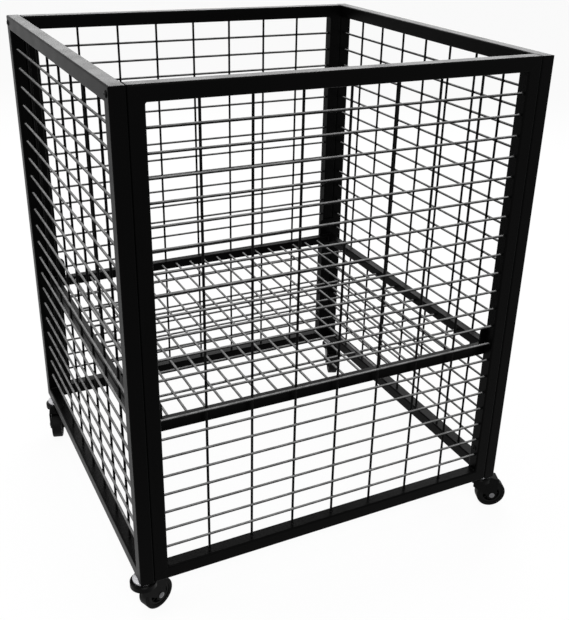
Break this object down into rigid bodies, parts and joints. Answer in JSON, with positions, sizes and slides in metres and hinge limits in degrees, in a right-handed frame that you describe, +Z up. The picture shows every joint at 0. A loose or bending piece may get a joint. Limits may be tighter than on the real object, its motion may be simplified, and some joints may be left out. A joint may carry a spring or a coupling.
{
  "type": "retail dump bin",
  "caption": "Open-topped wire-mesh dump bin of bolted square-tube panels with a mesh shelf inside, on four small swivel castors.",
  "frame": {"origin": "on the floor, under the middle of the box", "axes": "+X to the right along the front, +Y from the front to the back, +Z up"},
  "size_m": [0.6448, 0.5614, 0.742],
  "materials": {
    "powder_coat": "semi-gloss black powder coat",
    "black_bolt": "black coated",
    "castor_black": "satin black",
    "zinc": "bright zinc plate",
    "wheel_core": "moulded black",
    "tyre": "smooth black rubber"
  },
  "bodies": {
    "frame": {"front_top_rail": "powder_coat", "front_bottom_rail": "powder_coat", "front_left_stile": "powder_coat", "front_right_stile": "powder_coat", "front_mesh": "powder_coat", "right_top_rail": "powder_coat", "right_bottom_rail": "powder_coat", "right_front_stile": "powder_coat", "right_back_stile": "powder_coat", "right_mesh": "powder_coat", "back_top_rail": "powder_coat", "back_bottom_rail": "powder_coat", "back_right_stile": "powder_coat", "back_left_stile": "powder_coat", "back_mesh": "powder_coat", "left_top_rail": "powder_coat", "left_bottom_rail": "powder_coat", "left_back_stile": "powder_coat", "left_front_stile": "powder_coat", "left_mesh": "powder_coat", "shelf_front_rail": "powder_coat", "shelf_right_rail": "powder_coat", "shelf_back_rail": "powder_coat", "shelf_left_rail": "powder_coat", "shelf_mesh": "powder_coat", "shelf_lugs": "powder_coat", "panel_bolts": "black_bolt", "shelf_bolts": "black_bolt", "panel_nuts": "zinc", "shelf_nuts": "zinc", "castor_nuts": "zinc", "front_left_castor_stem": "zinc", "front_right_castor_stem": "zinc", "back_left_castor_stem": "zinc", "back_right_castor_stem": "zinc"},
    "front_left_castor": {"front_left_castor_fork": "castor_black", "front_left_castor_axle": "zinc"},
    "front_left_wheel": {"front_left_castor_wheel_core": "wheel_core", "front_left_castor_tyre": "tyre"},
    "front_right_castor": {"front_right_castor_fork": "castor_black", "front_right_castor_axle": "zinc"},
    "front_right_wheel": {"front_right_castor_wheel_core": "wheel_core", "front_right_castor_tyre": "tyre"},
    "back_left_castor": {"back_left_castor_fork": "castor_black", "back_left_castor_axle": "zinc"},
    "back_left_wheel": {"back_left_castor_wheel_core": "wheel_core", "back_left_castor_tyre": "tyre"},
    "back_right_castor": {"back_right_castor_fork": "castor_black", "back_right_castor_axle": "zinc"},
    "back_right_wheel": {"back_right_castor_wheel_core": "wheel_core", "back_right_castor_tyre": "tyre"}
  },
  "joints": [
    {"name": "front_left_swivel", "type": "hinge", "parent": "frame", "child": "front_left_castor", "pos_m": [-0.29, -0.258, 0.067], "axis": [0, 0, 1], "continuous": true},
    {"name": "front_left_roll", "type": "hinge", "parent": "front_left_castor", "child": "front_left_wheel", "pos_m": [-0.27099, -0.25032, 0.024], "axis": [-0.3746, 0.9272, 0], "continuous": true},
    {"name": "front_right_swivel", "type": "hinge", "parent": "frame", "child": "front_right_castor", "pos_m": [0.29, -0.258, 0.067], "axis": [0, 0, 1], "continuous": true},
    {"name": "front_right_roll", "type": "hinge", "parent": "front_right_castor", "child": "front_right_wheel", "pos_m": [0.30914, -0.26535, 0.024], "axis": [0.3584, 0.9336, 0], "continuous": true},
    {"name": "back_left_swivel", "type": "hinge", "parent": "frame", "child": "back_left_castor", "pos_m": [-0.29, 0.258, 0.067], "axis": [0, 0, 1], "continuous": true},
    {"name": "back_left_roll", "type": "hinge", "parent": "back_left_castor", "child": "back_left_wheel", "pos_m": [-0.29599, 0.2384, 0.024], "axis": [0.9563, -0.2924, 0], "continuous": true},
    {"name": "back_right_swivel", "type": "hinge", "parent": "frame", "child": "back_right_castor", "pos_m": [0.29, 0.258, 0.067], "axis": [0, 0, 1], "continuous": true},
    {"name": "back_right_roll", "type": "hinge", "parent": "back_right_castor", "child": "back_right_wheel", "pos_m": [0.28232, 0.23899, 0.024], "axis": [0.9272, -0.3746, 0], "continuous": true}
  ]
}
